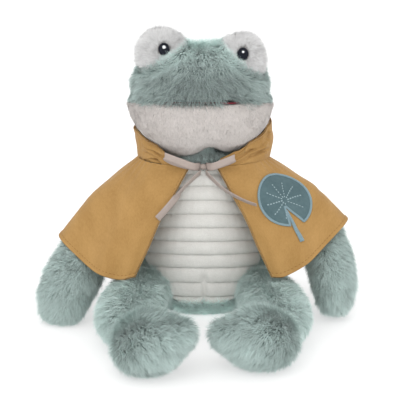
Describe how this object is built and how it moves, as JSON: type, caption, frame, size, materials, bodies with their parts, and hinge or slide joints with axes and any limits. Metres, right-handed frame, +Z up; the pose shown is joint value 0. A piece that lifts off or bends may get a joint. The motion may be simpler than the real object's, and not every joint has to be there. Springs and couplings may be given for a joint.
{
  "type": "plush frog",
  "caption": "Seated plush frog with stretched legs, mitten arms, wide smiling head and bulging eyes, in a hooded cape tied with a bow.",
  "frame": {"origin": "middle of the flat seat face that the frog sits on", "axes": "+Z up, the frog looks along -Y, its own left is +X"},
  "size_m": [0.307, 0.2849, 0.2773],
  "materials": {
    "green_plush": "short combed fur pile",
    "cream_plush": "short smooth pile",
    "ribbed_plush": "wide-ribbed pile",
    "mustard_cotton": "plain weave",
    "leaf_cloth": "plain weave with stitched veins",
    "thread": "satin stitch",
    "ribbon": "flat twill",
    "navy_thread": "satin stitch",
    "white_thread": "satin stitch",
    "mouth_cloth": "matte",
    "pellet_cloth": "plain weave"
  },
  "bodies": {
    "torso": {"torso": "green_plush", "seat_panel": "green_plush", "pellet_bag": "pellet_cloth", "belly_panel": "ribbed_plush", "cape_left": "mustard_cotton", "cape_right": "mustard_cotton", "hood": "mustard_cotton", "leaf_patch": "leaf_cloth", "leaf_border": "thread", "leaf_stem": "thread", "bow_knot": "ribbon", "bow_loop_left": "ribbon", "bow_loop_right": "ribbon", "tie_tail_left": "ribbon", "tie_tail_right": "ribbon"},
    "head": {"head_crown": "green_plush", "muzzle": "cream_plush", "mouth_lining": "mouth_cloth", "eye_mound_left": "cream_plush", "eye_mound_right": "cream_plush", "eye_left": "navy_thread", "eye_right": "navy_thread", "eye_glint_left": "white_thread", "eye_glint_right": "white_thread"},
    "arm_left": {"arm_left": "green_plush"},
    "arm_right": {"arm_right": "green_plush"},
    "leg_left": {"thigh_left": "green_plush", "foot_left": "green_plush"},
    "leg_right": {"thigh_right": "green_plush", "foot_right": "green_plush"}
  },
  "joints": [
    {"name": "head_turn", "type": "hinge", "parent": "torso", "child": "head", "pos_m": [0, -0.002, 0.146], "axis": [0, 0, 1], "range_deg": [-20, 20]},
    {"name": "arm_left_raise", "type": "hinge", "parent": "torso", "child": "arm_left", "pos_m": [0.059, -0.001, 0.127], "axis": [-1, 0, 0], "range_deg": [0, 45], "deforming": ["cape_left", "leaf_patch", "leaf_border", "leaf_stem"]},
    {"name": "arm_right_raise", "type": "hinge", "parent": "torso", "child": "arm_right", "pos_m": [-0.059, -0.001, 0.127], "axis": [-1, 0, 0], "range_deg": [0, 45], "deforming": ["cape_right"]},
    {"name": "leg_left_splay", "type": "hinge", "parent": "torso", "child": "leg_left", "pos_m": [0.046, -0.025, 0.025], "axis": [0, 0, 1], "range_deg": [-1.5, 10]},
    {"name": "leg_right_splay", "type": "hinge", "parent": "torso", "child": "leg_right", "pos_m": [-0.046, -0.025, 0.025], "axis": [0, 0, -1], "range_deg": [-1.5, 10]}
  ]
}
